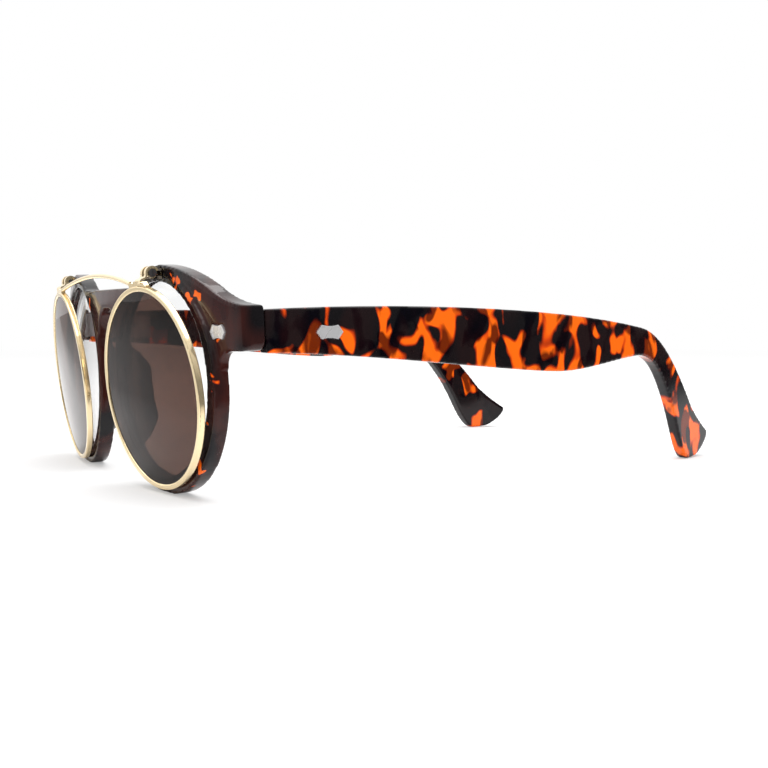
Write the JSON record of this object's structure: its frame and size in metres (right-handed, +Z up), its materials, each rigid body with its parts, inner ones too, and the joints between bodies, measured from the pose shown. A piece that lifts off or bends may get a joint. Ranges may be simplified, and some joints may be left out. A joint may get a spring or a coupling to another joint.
{
  "type": "flip up sunglasses",
  "caption": "Round plastic eyeglasses with clear lenses, folding temples and a metal flip-up part that carries tinted lenses in front.",
  "frame": {"origin": "middle of the overall width and length, on the table that the rims and temple tips rest on", "axes": "+Z up, the front faces -Y, the temples run back to +Y, +X is the wearer's left"},
  "size_m": [0.134, 0.1724, 0.0539],
  "materials": {
    "tortoise": "polished",
    "clear": "polished",
    "tint": "polished",
    "gold": "polished",
    "silver": "brushed",
    "steel": "satin",
    "dark_screw": "satin"
  },
  "bodies": {
    "front": {"front_frame": "tortoise", "clear_lens_left": "clear", "plaque_front_left": "silver", "flip_bracket_left": "gold", "rivet_inner_left": "gold", "rivet_outer_left": "gold", "leaf_front_left": "steel", "hinge_screw_left": "steel", "clear_lens_right": "clear", "plaque_front_right": "silver", "flip_bracket_right": "gold", "rivet_inner_right": "gold", "rivet_outer_right": "gold", "leaf_front_right": "steel", "hinge_screw_right": "steel"},
    "flip_part": {"flip_rim_left": "gold", "tinted_lens_left": "tint", "flip_arm_left": "gold", "flip_screw_left": "dark_screw", "flip_rim_right": "gold", "tinted_lens_right": "tint", "flip_arm_right": "gold", "flip_screw_right": "dark_screw", "brow_bar": "gold"},
    "temple_left_body": {"temple_left": "tortoise", "temple_core_left": "steel", "plaque_temple_left": "silver", "leaf_temple_left": "steel"},
    "temple_right_body": {"temple_right": "tortoise", "temple_core_right": "steel", "plaque_temple_right": "silver", "leaf_temple_right": "steel"}
  },
  "joints": [
    {"name": "flip", "type": "hinge", "parent": "front", "child": "flip_part", "pos_m": [0, -0.08183, 0.0517], "axis": [-1, 0, 0], "range_deg": [0, 95]},
    {"name": "fold_left", "type": "hinge", "parent": "front", "child": "temple_left_body", "pos_m": [0.0619, -0.06789, 0.03921], "axis": [0, -0.0401, 0.9992], "range_deg": [0, 90]},
    {"name": "fold_right", "type": "hinge", "parent": "front", "child": "temple_right_body", "pos_m": [-0.0619, -0.06789, 0.03921], "axis": [0, 0.0401, -0.9992], "range_deg": [0, 83]}
  ]
}
